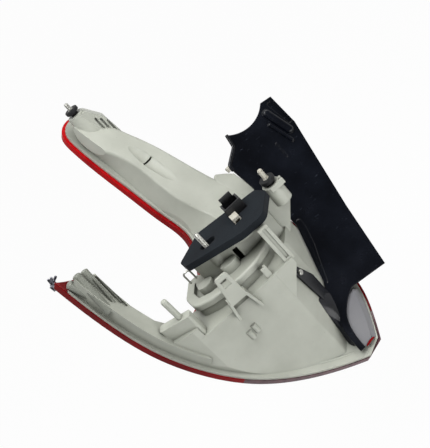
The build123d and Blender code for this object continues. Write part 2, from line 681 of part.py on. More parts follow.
def trim_panel():
    """Trim panel with its tail, raised bars and the screw tab on the body's side."""
    scallop = ThreePointArc(*TRIM_SCALLOP)
    tail = Spline(*TRIM_TAIL)
    back = Spline(*TRIM_TAIL_BACK)
    edges = [Polyline(*TRIM_RIGHT), scallop, Polyline(*TRIM_LEFT), tail, Line(tail @ 1, back @ 0), back]
    panel = TRIM_PLANE * extrude(make_face(edges), amount=-TRIM_THICK)
    for start, end, wide, high in TRIM_BARS:
        middle = (Vector(*start) + Vector(*end)) * 0.5
        run = Vector(*end) - Vector(*start)
        slot = SlotOverall(run.length, wide)
        bar = extrude(slot, amount=high)
        bar = fillet(bar.edges().group_by(Axis.Z)[-1], min(wide * BAR_ROUND[0], high * BAR_ROUND[1]))
        turn = math.degrees(math.atan2(run.Y, run.X))
        panel += TRIM_PLANE * Pos(middle.X, middle.Y) * Rot(0, 0, turn) * bar
    tab = extrude(make_face(Polyline(*TAB_FACE, close=True)), amount=TRIM_THICK)
    tab = SIDE_PLANE * Pos(0, 0, TAB_GAP) * tab
    hole = SIDE_PLANE * Pos(*SCREW_AT) * Cylinder(SCREW_R, 4 * TRIM_THICK)
    pocket = extrude(make_face(Polyline(*TRIM_POCKET, close=True)), amount=-TRIM_POCKET_DEPTH)
    return panel + tab + lip_bead() - hole - TRIM_PLANE * pocket


def trim_screw():
    """Screw through the tab into the housing's side."""
    face = TAB_GAP + TRIM_THICK
    head = Cylinder(SCREW_HEAD_R, SCREW_HEAD_H, align=(Align.CENTER, Align.CENTER, Align.MIN))
    head = fillet(head.edges().sort_by(Axis.Z)[-1:], SCREW_HEAD_ROUND)
    shank = Cylinder(SCREW_R, SCREW_LENGTH, align=(Align.CENTER, Align.CENTER, Align.MAX))
    return SIDE_PLANE * Pos(*SCREW_AT, face) * (head + shank)


def trim_clip():
    """Clip on the back of the trim's upper lip."""
    box = Box(*TRIM_CLIP_SIZE, align=(Align.CENTER, Align.CENTER, Align.MAX))
    box -= Pos(0, 0, -2 * TRIM_THICK) * Box(TRIM_CLIP_SIZE[0] / 2, 2 * TRIM_CLIP_SIZE[1], TRIM_THICK)
    return TRIM_PLANE * Pos(*TRIM_CLIP_AT, -TRIM_THICK) * box


def side_cover(body):
    """Hollow cap between the trim and the housing's flange."""
    face = make_face(Polyline(*COVER_FACE, close=True))
    inner = offset(face, amount=-COVER_WALL, kind=Kind.INTERSECTION)
    top = -TRIM_THICK - COVER_DROP
    room = Pos(0, 0, -COVER_WALL) * extrude(inner, amount=-COVER_REACH)
    cap = extrude(face, amount=-COVER_REACH) - room
    cap = TRIM_PLANE * Pos(0, 0, top) * cap
    cap = (cap & barrel(LENS_RIM + FLANGE)) - body
    return cap.solids().sort_by(SortBy.VOLUME)[-1]


def tip_clip():
    """Sheet-metal clip on the lower arm's lens tip."""
    start = Vector(*flat(*LOWER_EDGE[0]))
    along = (Vector(*flat(*GAP_EDGE[-1])) - start).normalized()
    first = start + along * TIP_CLIP_SPAN[0]
    out = Vector(-along.Y, along.X)
    angle, station = LOWER_EDGE[0]
    skin_z = -barrel_radius(station) * math.cos(math.radians(angle - DRAW_ANGLE))
    low, high = TIP_CLIP_DEPTH
    thick, reach = TIP_CLIP_THICK, TIP_CLIP_REACH
    profile = [(0, low), (reach, low), (reach, low + thick), (thick, low + thick), (thick, high - thick),
               (reach, high - thick), (reach, high), (0, high)]
    plane = LENS_PLANE * Plane(origin=(first.X, first.Y, skin_z), x_dir=out, z_dir=-along)
    body = extrude(make_face(Polyline(*profile, close=True)), amount=-(TIP_CLIP_SPAN[1] - TIP_CLIP_SPAN[0]))
    return plane * body


def stud(at, seat, top):
    """Stud with its head moulded into the boss, a shoulder up to the seat and its shank above that."""
    low = (Align.CENTER, Align.CENTER, Align.MIN)
    foot = at[2] - STUD_BOSS_H
    shank = Cylinder(STUD_R, top - foot, align=low)
    shank = chamfer(shank.edges().sort_by(Axis.Z)[-1:], STUD_TIP)
    shoulder = Cylinder(SHOULDER_R, seat - foot, align=low)
    head = extrude(RegularPolygon(HEAD_R, 6), amount=HEAD_H)
    return Pos(at[0], at[1], foot) * (shank + shoulder + head)


def grommet(at):
    """Rubber grommet: a neck on the seat and a wider disc on it."""
    neck = Circle(GROMMET_NECK_R) - Circle(SHOULDER_R)
    disc = Circle(GROMMET_R) - Circle(SHOULDER_R)
    base = at[2]
    ring = column(disc, base + GROMMET_NECK_H, base + GROMMET_NECK_H + GROMMET_H)
    rims = [e for e in ring.edges().filter_by(GeomType.CIRCLE) if e.radius > GROMMET_NECK_R]
    ring = fillet(rims, GROMMET_ROUND)
    return Pos(at[0], at[1], 0) * (column(neck, base, base + GROMMET_NECK_H) + ring)


def build():
    nodes = {}
    nodes["red_lens"], nodes["clear_lens"] = lens_parts()
    grommet_top = GROMMET_NECK_H + GROMMET_H
    nodes["main_stud"] = stud((0, 0, 0), 0, GASKET_THICK + STUD_SHOW)
    nodes["arm_stud"] = stud(ARM_STUD, ARM_STUD[2] + grommet_top, ARM_STUD[2] + STUD_SHOW)
    inboard_top = INBOARD_STUD[2] + GROMMET_NECK_H + STUD_SHOW
    nodes["inboard_stud"] = stud(INBOARD_STUD, INBOARD_STUD[2] + grommet_top, inboard_top)
    nodes["arm_grommet"] = grommet(ARM_STUD)
    nodes["inboard_grommet"] = grommet(INBOARD_STUD)
    nodes["trim_panel"] = trim_panel()
    nodes["trim_screw"] = trim_screw()
    nodes["trim_clip"] = trim_clip()
    hollow = interior()
    fixed = [nodes[n] for n in ("main_stud", "arm_stud", "inboard_stud", "trim_screw")]
    nodes["housing"] = housing(hollow, fixed)
    nodes["reflector"] = reflector(hollow)
    nodes["side_cover"] = side_cover(nodes["housing"])
    nodes["bulb_carrier"] = carrier()
    nodes["carrier_seal"] = carrier_seal()
    nodes["carrier_clip"] = carrier_clip()
    nodes["stop_bulb"] = bulb(SOCKET_LEFT)
    nodes["reverse_bulb"] = bulb(SOCKET_RIGHT)
    nodes["foam_gasket"] = foam_gasket()
    nodes["connector_housing"] = plug()
    nodes["connector_pins"] = plug_pins()
    nodes["connector_lock"] = plug_lock()
    nodes["tip_clip"] = tip_clip()
    return nodes


if __name__ == "__main__":
    os.makedirs("parts", exist_ok=True)
    for name, shape in build().items():
        export_step(shape, "parts/" + name + ".step")
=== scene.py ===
import bpy
import numpy as np
from mathutils import Matrix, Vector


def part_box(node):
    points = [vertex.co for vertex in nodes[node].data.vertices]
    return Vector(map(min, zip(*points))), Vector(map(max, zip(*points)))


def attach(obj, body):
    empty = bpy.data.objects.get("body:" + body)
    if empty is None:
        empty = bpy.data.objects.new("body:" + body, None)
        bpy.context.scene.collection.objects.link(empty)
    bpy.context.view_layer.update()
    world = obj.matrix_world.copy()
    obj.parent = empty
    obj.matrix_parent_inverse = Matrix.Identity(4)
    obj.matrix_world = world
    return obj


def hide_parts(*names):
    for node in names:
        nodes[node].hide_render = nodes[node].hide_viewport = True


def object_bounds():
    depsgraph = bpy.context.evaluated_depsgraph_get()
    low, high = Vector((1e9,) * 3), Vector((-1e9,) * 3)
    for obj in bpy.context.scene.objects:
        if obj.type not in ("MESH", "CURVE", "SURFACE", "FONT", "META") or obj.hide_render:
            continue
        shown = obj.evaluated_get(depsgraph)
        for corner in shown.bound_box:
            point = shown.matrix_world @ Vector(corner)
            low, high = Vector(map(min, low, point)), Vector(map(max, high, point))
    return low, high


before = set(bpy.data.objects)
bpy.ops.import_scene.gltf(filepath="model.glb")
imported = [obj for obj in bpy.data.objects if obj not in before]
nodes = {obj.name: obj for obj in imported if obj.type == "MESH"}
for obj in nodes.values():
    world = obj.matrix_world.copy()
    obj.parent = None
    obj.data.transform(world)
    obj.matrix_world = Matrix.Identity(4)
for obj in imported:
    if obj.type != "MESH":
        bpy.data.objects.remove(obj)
cad_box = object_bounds()

MM = 0.001

# What makes a Mix node mix colours
COLOURS = {"data_type": "RGBA"}

# Camera of the photo: where its eye stands in metres, which way its picture lies, its focal length and the
# picture's size in pixels, and the sensor's width in mm
EYE = (0.0228, -0.7530, 0.4024)
PICTURE_RIGHT = (0.7314, -0.3096, -0.6077)
PICTURE_UP = (0.6820, 0.3320, 0.6517)
PICTURE_BACK = (0.0, -0.8910, 0.4540)
FOCAL_PIXELS = 794.0
PICTURE_SIZE = (430, 448)
SENSOR = 36.0

# Studs: metric coarse thread, its length on each, the plain shoulder under it and the pointed nose
STUD_R = 3.0 * MM
THREAD_PITCH = 1.0 * MM
THREAD_DEPTH = 0.6 * MM
MAIN_THREAD = 26 * MM
ARM_THREAD = 9.5 * MM
INBOARD_THREAD = 13 * MM
PLAIN_R = 3.6 * MM
PLAIN_STEP = 0.02 * MM
STUD_NOSE = 1.2 * MM
NOSE_SLOPE = 0.8

# Grids: places round a stud and round a bar, rings on each turn of thread and along a bar, and how small the
# last ring of each is drawn
STUD_PLACES = 40
RINGS_PER_PITCH = 8
BAR_PLACES = 36
BAR_RINGS = 80
END_SHARE = 0.02

# Lens skin, in mm: a barrel round the rake axis, under which the lower arm's pipes lie
RAKE = np.radians(40)
BARREL_R = 240.0
BARREL_BOW = 3000.0
INWARD = np.array([0, -np.sin(RAKE), np.cos(RAKE)])
RAKE_AXIS = np.array([0, np.cos(RAKE), np.sin(RAKE)])
BARREL_X = 90.0
BARREL_RISE = 100.0
BARREL_CENTRE = np.array([BARREL_X, 0, 0]) + INWARD * BARREL_RISE

# Pipes on the lower arm's end: head and foot of each as degrees, station and depth on the skin, in mm
PIPES = [((80.0, 53.7, 16), (71.5, 24, 19)), ((80.1, 53.9, 28), (73, 12, 21.5))]
PIPES += [((75.2, 60.4, 29.5), (69.5, 16, 21.5))]
PIPE_R = 4.9
PIPE_END = 2.2

# Blades beside the pipes, in mm: head and foot of each, which way they stand, half their width, their ends
BLADES = [((-110.7, 8.6, 65.7), (-111.8, -5.8, 37.2)), ((-108.3, 20.2, 57.4), (-107.2, 0.3, 26.1))]
BLADES += [((-108.4, 21.5, 60.1), (-105.2, -0.4, 19.0))]
BLADE_STAND = np.array([1.9, -2.5, 1.2])
BLADE_HALF = 0.75
BLADE_END = 2.0

# Plates: the length of their rounded ends in mm, and the share of half their thickness that they are sunk
PLATE_END = 4.0
PLATE_SINK = 0.6

# Shoulder of the housing behind the gasket: its foot on the arm and its rim, in mm
SHOULDER_FOOT = [(58.1, 136.4, -8.3), (62.7, 126.2, -17.7), (67.2, 114.4, -26.2), (70.5, 104.0, -32.0)]
SHOULDER_FOOT += [(72.5, 97.0, -35.0)]
SHOULDER_RIM = [(62.8, 144.8, -2.8), (73.9, 141.2, -10.1), (83.1, 137.7, -17.6), (85.7, 118.8, -28.7)]
SHOULDER_RIM += [(86.1, 98.2, -36.5)]
SHOULDER_HALF = 1.6

# Rolled flank of the trim panel: its outer edge and its ridge on the panel's face, in mm
FLANK_EDGE = [(90.4, 27.7, -60.7), (89.8, 21.3, -70.9), (83.1, 8.0, -90.3), (75.7, -5.8, -110.2)]
FLANK_EDGE += [(68.2, -16.2, -124.5)]
FLANK_RIDGE = [(100.5, 28.4, -63.5), (97.8, 20.6, -75.0), (91.6, 9.6, -90.6), (82.1, -2.2, -106.5)]
FLANK_RIDGE += [(71.5, -16.8, -127.0)]
FLANK_HALF = 1.8

# Return of the trim panel's tail on the housing's side wall: its far and its near edge, in mm. The far edge
# is drawn out to the side wall's diagonal edge, so the plate is partly the trim's return and partly a black
# sheet for the side wall's painted shade
RETURN_SHADE_EDGE = [(48.5, -32.6, -119.5), (46.6, -34.5, -134.5), (44.8, -36.4, -151.0), (43.0, -38.3, -169.5)]
RETURN_SHADE_EDGE += [(40.6, -45.0, -187.6)]
RETURN_NEAR = [(66.5, -19.8, -130.5), (61.0, -30.3, -144.0), (53.8, -39.4, -157.3), (48.6, -46.6, -168.0)]
RETURN_NEAR += [(44.6, -51.0, -190.0)]
RETURN_HALF = 1.0

# Skirt of the side cover, from its edge to the lens's rim, in mm
SKIRT_EDGE = [(84.6, -25.5, -151.2), (80.9, -31.5, -159.6), (74.1, -40.5, -171.8), (66.5, -49.9, -184.6)]
SKIRT_EDGE += [(62.0, -55.5, -192.2)]
SKIRT_RIM = [(93.8, -4.3, -166.0), (88.9, -18.7, -176.4), (80.7, -34.8, -187.3), (73.5, -46.9, -195.0)]
SKIRT_RIM += [(69.6, -53.3, -198.8)]
SKIRT_HALF = 1.0

# Thin raised strip on the housing's flange: its two edges, in mm
STRIP_LOW = [(-0.1, -49.2, -173.4), (14.0, -51.2, -181.7), (28.9, -53.1, -189.0), (39.0, -54.3, -193.1)]
STRIP_HIGH = [(1.7, -46.9, -172.6), (15.8, -48.9, -180.9), (30.7, -50.8, -188.2), (40.8, -52.0, -192.3)]
STRIP_HALF = 0.9

# Folded end of the red lens at the lower right corner: its two edges, in mm
FOLD_INNER = [(53.3, -58.9, -192.7), (60.8, -56.7, -191.7), (66.8, -55.5, -192.0)]
FOLD_OUTER = [(54.8, -59.6, -194.6), (62.0, -57.8, -193.8), (68.2, -56.6, -194.6)]
FOLD_HALF = 0.7

# Spring clip above the lower arm's tip, in mm: the root and the tips of its leaves, half a leaf's width and
# thickness, and its rounded end
CLIP_ROOT = (-143.6, 11.7, 90.2)
CLIP_TIPS = [(-143.1, 15.3, 97.0), (-138.9, 15.0, 96.2), (-134.2, 13.6, 93.9), (-139.5, 11.4, 89.4)]
LEAF_HALF_WIDE = 1.5
LEAF_HALF_THICK = 0.55
LEAF_END = 1.5

# Lamps: name, direction, distance and size in metres, power in watts and colour, and the point they look at
LAMPS = [("key", (0.62, -0.05, 0.78), 1.0, 0.5, 2.6, "#FFFDFA")]
LAMPS += [("top_fill", (-0.05, -0.38, 0.92), 1.0, 0.6, 8.8, "#FFFFFF")]
LAMPS += [("low_fill", (0.30, -0.90, -0.30), 1.0, 0.7, 5.2, "#FFFFFF")]
LAMP_TARGET = np.array([-0.01, 0.07, -0.03])

# Floor: its size and how far it lies under the object, in metres, and its own glow where the eye meets it
FLOOR_SIZE = 60
FLOOR_DROP = 0.25
FLOOR_GLOW = 0.97

# Sky: its light on matt faces, and in glossy ones from the darker front, at a Y of the ray, to the sweep
SKY_FILL = 0.1
FRONT_Y = -0.6
SWEEP_Y = 0.1
FRONT_LIGHT = 0.12
SWEEP_LIGHT = 1.0


def linear(hexcode):
    """sRGB hex colour as linear red, green, blue and alpha."""
    parts = np.array([int(hexcode[i:i + 2], 16) for i in (1, 3, 5)]) / 255.0
    curve = np.where(parts <= 0.04045, parts / 12.92, ((parts + 0.055) / 1.055) ** 2.4)
    return (*curve.tolist(), 1.0)


def per_mm(size):
    """Texture scale that makes a pattern of that size in millimetres."""
    return 1.0 / (size * MM)


def add(tree, kind, values=None, **settings):
    """Adds a shader node with its settings. A value that is a socket or a node (by its first open output) is
    linked, any other is set. A MapRange takes 0 the value, 1 and 2 its limits, 3 and 4 what they become."""
    made = tree.nodes.new("ShaderNode" + kind)
    for name, value in settings.items():
        setattr(made, name, value)
    for key, value in (values or {}).items():
        if isinstance(value, bpy.types.Node):
            value = next(socket for socket in value.outputs if socket.enabled)
        if isinstance(value, bpy.types.NodeSocket):
            tree.links.new(value, made.inputs[key])
        else:
            made.inputs[key].default_value = value
    return made


def new_material(name):
    """Material with an empty tree, and the object's own coordinates for its patterns."""
    material = bpy.data.materials.new(name)
    material.use_nodes = True
    tree = material.node_tree
    tree.nodes.clear()
    return material, tree, add(tree, "TexCoord").outputs["Object"]


def moulded_abs(name, colour, shade, speck_and_shade_tone):
    """Moulded ABS, satin: even grey with faint flow clouds, a fine spark-eroded grain, small dark specks,
    and painted shade that darkens its corners and recesses. The grain is drawn at 0.9 mm, coarser than the
    real one, so that it shows."""
    material, tree, place = new_material(name)
    clouds = add(tree, "TexNoise", {"Vector": place, "Scale": per_mm(45), "Detail": 4.0})
    grain = add(tree, "TexNoise", {"Vector": place, "Scale": per_mm(0.9), "Detail": 2.0})
    specks = add(tree, "TexNoise", {"Vector": place, "Scale": per_mm(3.2), "Detail": 3.0})
    flow = add(tree, "MapRange", {0: clouds, 1: 0.35, 2: 0.65})
    body = add(tree, "Mix", {"Factor": flow, "A": linear(colour), "B": linear(shade)}, **COLOURS)
    dots = add(tree, "MapRange", {0: specks, 1: 0.72, 2: 0.80, 3: 0.0, 4: 0.5})
    dotted = add(tree, "Mix", {"Factor": dots, "A": body, "B": linear(speck_and_shade_tone)}, **COLOURS)
    # Painted shade: an occlusion node darkens corners and recesses within 40 mm towards the speck colour
    corner = add(tree, "AmbientOcclusion", {"Distance": 40 * MM}, samples=8).outputs["AO"]
    painted_shade = add(tree, "MapRange", {0: corner, 1: 0.85, 2: 0.10, 3: 0.0, 4: 0.85})
    with_painted_shade = add(tree, "Mix", {"Factor": painted_shade, "A": dotted, "B": linear(speck_and_shade_tone)}, **COLOURS)
    rough = add(tree, "MapRange", {0: clouds, 1: 0.3, 2: 0.7, 3: 0.36, 4: 0.50})
    soft = add(tree, "Bevel", {"Radius": 1.0 * MM}, samples=6)
    bump = add(tree, "Bump", {"Height": grain, "Strength": 0.12, "Distance": 0.15 * MM, "Normal": soft})
    shader = add(tree, "BsdfPrincipled", {
        "Base Color": with_painted_shade, "Roughness": rough, "Normal": bump, "IOR": 1.53, "Specular IOR Level": 0.35})
    add(tree, "OutputMaterial", {"Surface": shader})
    return material


def red_acrylic():
    """Red PMMA, polished: deep red and glossy, with painted light: a lit copy of the red up the arm, higher
    in Y, and a shaded copy below.
    """
    material, tree, place = new_material("red_acrylic")
    height = add(tree, "SeparateXYZ", {"Vector": place}).outputs["Y"]
    streaks = add(tree, "TexNoise", {"Vector": place, "Scale": per_mm(60), "Detail": 3.0})
    flow = add(tree, "MapRange", {0: streaks, 1: 0.35, 2: 0.65})
    # Painted light: a shaded and a lit copy of the red, blended by height
    shaded_red = add(tree, "Mix", {"Factor": flow, "A": linear("#8E0A10"), "B": linear("#6C060C")}, **COLOURS)
    lit = add(tree, "Mix", {"Factor": flow, "A": linear("#C81418"), "B": linear("#A80E14")}, **COLOURS)
    lit_share = add(tree, "MapRange", {0: height, 1: 0.12, 2: 0.22})
    colour = add(tree, "Mix", {"Factor": lit_share, "A": shaded_red, "B": lit}, **COLOURS)
    haze = add(tree, "TexNoise", {"Vector": place, "Scale": per_mm(7), "Detail": 3.0})
    rough = add(tree, "MapRange", {0: haze, 1: 0.3, 2: 0.7, 3: 0.10, 4: 0.22})
    soft = add(tree, "Bevel", {"Radius": 1.2 * MM}, samples=6)
    bump = add(tree, "Bump", {"Height": haze, "Strength": 0.04, "Distance": 0.1 * MM, "Normal": soft})
    shader = add(tree, "BsdfPrincipled", {
        "Base Color": colour, "Roughness": rough, "Normal": bump, "IOR": 1.49, "Specular IOR Level": 0.04})
    add(tree, "OutputMaterial", {"Surface": shader})
    return material


def clear_acrylic():
    """Clear PMMA, polished: a painted grey for the dark room seen through it, and a painted pink reflection
    of the red beside it.
    """
    material, tree, place = new_material("clear_acrylic")
    haze = add(tree, "TexNoise", {"Vector": place, "Scale": per_mm(9), "Detail": 3.0})
    flow = add(tree, "MapRange", {0: haze, 1: 0.35, 2: 0.65})
    # Painted reflection: dark pinkish grey in the base colour, for what is seen through the lens and the red
    # beside it
    colour = add(tree, "Mix", {"Factor": flow, "A": linear("#6E4A50"), "B": linear("#503239")}, **COLOURS)
    rough = add(tree, "MapRange", {0: haze, 1: 0.3, 2: 0.7, 3: 0.06, 4: 0.2})
    soft = add(tree, "Bevel", {"Radius": 1.0 * MM}, samples=6)
    bump = add(tree, "Bump", {"Height": haze, "Strength": 0.04, "Distance": 0.1 * MM, "Normal": soft})
    shader = add(tree, "BsdfPrincipled", {
        "Base Color": colour, "Roughness": rough, "Normal": bump, "IOR": 1.49, "Specular IOR Level": 0.2,
        "Transmission Weight": 0.1})
    add(tree, "OutputMaterial", {"Surface": shader})
    return material


def scuffed_trim():
    """Black polypropylene, satin: blue-black, fine moulded grain, pale hairline scuffs, dull patches."""
    material, tree, place = new_material("scuffed_black_polypropylene")
    patches = add(tree, "TexNoise", {"Vector": place, "Scale": per_mm(38), "Detail": 5.0})
    grain = add(tree, "TexNoise", {"Vector": place, "Scale": per_mm(1.1), "Detail": 2.0})
    drawn = add(tree, "Mapping", {"Vector": place, "Rotation": (0.4, 0.7, 0.2), "Scale": (1.0, 14.0, 14.0)})
    lines = add(tree, "TexNoise", {"Vector": drawn, "Scale": per_mm(26), "Detail": 4.0})
    dull = add(tree, "MapRange", {0: patches, 1: 0.35, 2: 0.7})
    body = add(tree, "Mix", {"Factor": dull, "A": linear("#05070D"), "B": linear("#0B0F18")}, **COLOURS)
    scuff = add(tree, "MapRange", {0: lines, 1: 0.68, 2: 0.78, 3: 0.0, 4: 0.45})
    colour = add(tree, "Mix", {"Factor": scuff, "A": body, "B": linear("#4A505C")}, **COLOURS)
    rough = add(tree, "MapRange", {0: patches, 1: 0.3, 2: 0.7, 3: 0.16, 4: 0.28})
    soft = add(tree, "Bevel", {"Radius": 1.2 * MM}, samples=6)
    bump = add(tree, "Bump", {"Height": grain, "Strength": 0.08, "Distance": 0.12 * MM, "Normal": soft})
    shader = add(tree, "BsdfPrincipled", {
        "Base Color": colour, "Roughness": rough, "Normal": bump, "IOR": 1.49, "Specular IOR Level": 0.32})
    add(tree, "OutputMaterial", {"Surface": shader})
    return material


def closed_foam():
    """Closed-cell foam: charcoal, matt, with small open pores on its cut skin."""
    material, tree, place = new_material("closed_cell_foam")
    pores = add(tree, "TexVoronoi", {"Vector": place, "Scale": per_mm(1.3)}).outputs["Distance"]
    tone = add(tree, "TexNoise", {"Vector": place, "Scale": per_mm(22), "Detail": 4.0})
    patch = add(tree, "MapRange", {0: tone, 1: 0.35, 2: 0.65})
    body = add(tree, "Mix", {"Factor": patch, "A": linear("#171B20"), "B": linear("#20252A")}, **COLOURS)
    open_pore = add(tree, "MapRange", {0: pores, 1: 0.0, 2: 0.35, 3: 0.5, 4: 0.0})
    colour = add(tree, "Mix", {"Factor": open_pore, "A": body, "B": linear("#0C0F13")}, **COLOURS)
    rough = add(tree, "MapRange", {0: tone, 1: 0.3, 2: 0.7, 3: 0.78, 4: 0.92})
    soft = add(tree, "Bevel", {"Radius": 1.4 * MM}, samples=6)
    bump = add(tree, "Bump", {"Height": pores, "Strength": 0.25, "Distance": 0.25 * MM, "Normal": soft})
    shader = add(tree, "BsdfPrincipled", {
        "Base Color": colour, "Roughness": rough, "Normal": bump, "IOR": 1.4, "Specular IOR Level": 0.2,
        "Sheen Weight": 0.04})
    add(tree, "OutputMaterial", {"Surface": shader})
    return material


def moulded_rubber():
    """Moulded rubber: near black, matt, with a greyish bloom."""
    material, tree, place = new_material("moulded_rubber")
    bloom = add(tree, "TexNoise", {"Vector": place, "Scale": per_mm(6), "Detail": 4.0})
    film = add(tree, "MapRange", {0: bloom, 1: 0.4, 2: 0.75})
    colour = add(tree, "Mix", {"Factor": film, "A": linear("#0E0F11"), "B": linear("#1E1F22")}, **COLOURS)
    rough = add(tree, "MapRange", {0: bloom, 1: 0.3, 2: 0.7, 3: 0.5, 4: 0.75})
    soft = add(tree, "Bevel", {"Radius": 0.5 * MM}, samples=6)
    bump = add(tree, "Bump", {"Height": bloom, "Strength": 0.08, "Distance": 0.1 * MM, "Normal": soft})
    shader = add(tree, "BsdfPrincipled", {
        "Base Color": colour, "Roughness": rough, "Normal": bump, "IOR": 1.5, "Specular IOR Level": 0.3})
    add(tree, "OutputMaterial", {"Surface": shader})
    return material


def zinc_plate(name, dark, bright):
    """Zinc plated steel: grey metal with spangles and a dull film."""
    material, tree, place = new_material(name)
    spangle = add(tree, "TexVoronoi", {"Vector": place, "Scale": per_mm(1.6)}).outputs["Color"]
    film = add(tree, "TexNoise", {"Vector": place, "Scale": per_mm(2.5), "Detail": 3.0})
    tone = add(tree, "SeparateColor", {"Color": spangle})
    colour = add(tree, "Mix", {"Factor": tone, "A": linear(dark), "B": linear(bright)}, **COLOURS)
    rough = add(tree, "MapRange", {0: film, 1: 0.3, 2: 0.7, 3: 0.26, 4: 0.48})
    soft = add(tree, "Bevel", {"Radius": 0.3 * MM}, samples=6)
    bump = add(tree, "Bump", {"Height": film, "Strength": 0.06, "Distance": 0.05 * MM, "Normal": soft})
    shader = add(tree, "BsdfPrincipled", {
        "Base Color": colour, "Roughness": rough, "Normal": bump, "Metallic": 1.0})
    add(tree, "OutputMaterial", {"Surface": shader})
    return material


def natural_nylon():
    """Natural nylon: cream white, satin, slightly waxy."""
    material, tree, place = new_material("natural_nylon")
    wax = add(tree, "TexNoise", {"Vector": place, "Scale": per_mm(5), "Detail": 3.0})
    flow = add(tree, "MapRange", {0: wax, 1: 0.35, 2: 0.65})
    colour = add(tree, "Mix", {"Factor": flow, "A": linear("#DAD7CB"), "B": linear("#C4C0B2")}, **COLOURS)
    rough = add(tree, "MapRange", {0: wax, 1: 0.3, 2: 0.7, 3: 0.35, 4: 0.55})
    soft = add(tree, "Bevel", {"Radius": 0.4 * MM}, samples=6)
    bump = add(tree, "Bump", {"Height": wax, "Strength": 0.06, "Distance": 0.1 * MM, "Normal": soft})
    shader = add(tree, "BsdfPrincipled", {
        "Base Color": colour, "Roughness": rough, "Normal": bump, "IOR": 1.53, "Specular IOR Level": 0.4})
    add(tree, "OutputMaterial", {"Surface": shader})
    return material


def connector_nylon():
    """Glass-filled nylon: black, satin, with a faint fibre mottle."""
    material, tree, place = new_material("glass_filled_nylon")
    mottle = add(tree, "TexNoise", {"Vector": place, "Scale": per_mm(1.8), "Detail": 4.0})
    fibre = add(tree, "MapRange", {0: mottle, 1: 0.4, 2: 0.7})
    colour = add(tree, "Mix", {"Factor": fibre, "A": linear("#08080A"), "B": linear("#151518")}, **COLOURS)
    rough = add(tree, "MapRange", {0: mottle, 1: 0.3, 2: 0.7, 3: 0.35, 4: 0.55})
    soft = add(tree, "Bevel", {"Radius": 0.5 * MM}, samples=6)
    bump = add(tree, "Bump", {"Height": mottle, "Strength": 0.08, "Distance": 0.1 * MM, "Normal": soft})
    shader = add(tree, "BsdfPrincipled", {
        "Base Color": colour, "Roughness": rough, "Normal": bump, "IOR": 1.53, "Specular IOR Level": 0.35})
    add(tree, "OutputMaterial", {"Surface": shader})
    return material


def tinned_brass():
    """Tinned brass: bright grey metal, warmer where the tin is thin."""
    material, tree, place = new_material("tinned_brass")
    thin = add(tree, "TexNoise", {"Vector": place, "Scale": per_mm(2), "Detail": 3.0})
    worn = add(tree, "MapRange", {0: thin, 1: 0.5, 2: 0.75})
    colour = add(tree, "Mix", {"Factor": worn, "A": linear("#C9C8C2"), "B": linear("#C9B27A")}, **COLOURS)
    rough = add(tree, "MapRange", {0: thin, 1: 0.3, 2: 0.7, 3: 0.2, 4: 0.35})
    shader = add(tree, "BsdfPrincipled", {"Base Color": colour, "Roughness": rough, "Metallic": 1.0})
    add(tree, "OutputMaterial", {"Surface": shader})
    return material


def vacuum_metal():
    """Vacuum metallised plastic: a mirror with faint waves of the moulding under it."""
    material, tree, place = new_material("vacuum_metallised_plastic")
    waves = add(tree, "TexNoise", {"Vector": place, "Scale": per_mm(14), "Detail": 2.0})
    swell = add(tree, "MapRange", {0: waves, 1: 0.3, 2: 0.7})
    colour = add(tree, "Mix", {"Factor": swell, "A": linear("#E4E5E7"), "B": linear("#D2D3D6")}, **COLOURS)
    rough = add(tree, "MapRange", {0: waves, 1: 0.3, 2: 0.7, 3: 0.05, 4: 0.14})
    shader = add(tree, "BsdfPrincipled", {"Base Color": colour, "Roughness": rough, "Metallic": 1.0})
    add(tree, "OutputMaterial", {"Surface": shader})
    return material


def bulb_glass():
    """Soda-lime glass bulb: clear, with a faint grey film on the inside."""
    material, tree, place = new_material("soda_lime_glass")
    film = add(tree, "TexNoise", {"Vector": place, "Scale": per_mm(8), "Detail": 3.0})
    grey = add(tree, "MapRange", {0: film, 1: 0.4, 2: 0.7})
    colour = add(tree, "Mix", {"Factor": grey, "A": linear("#F2F3F2"), "B": linear("#D9DAD8")}, **COLOURS)
    rough = add(tree, "MapRange", {0: film, 1: 0.3, 2: 0.7, 3: 0.02, 4: 0.1})
    shader = add(tree, "BsdfPrincipled", {
        "Base Color": colour, "Roughness": rough, "IOR": 1.52, "Transmission Weight": 0.85})
    add(tree, "OutputMaterial", {"Surface": shader})
    return material


def ring_mesh(name, points):
    """Closed mesh of a grid of points (rings, places round a ring, 3): quads between neighbours, each ring
    joined up, and a face across the first and the last ring."""
    rings, places, _ = points.shape
    i, j = np.meshgrid(np.arange(rings - 1), np.arange(places), indexing="ij")
    k = (j + 1) % places
    quads = np.stack([i * places + j, i * places + k, (i + 1) * places + k, (i + 1) * places + j], axis=-1)
    ends = [np.arange(places)[::-1].tolist(), ((rings - 1) * places + np.arange(places)).tolist()]
    mesh = bpy.data.meshes.new(name)
    mesh.from_pydata(points.reshape(-1, 3).tolist(), [], quads.reshape(-1, 4).tolist() + ends)
    mesh.shade_smooth()
    made = bpy.data.objects.new(name, mesh)
    bpy.context.collection.objects.link(made)
    return made


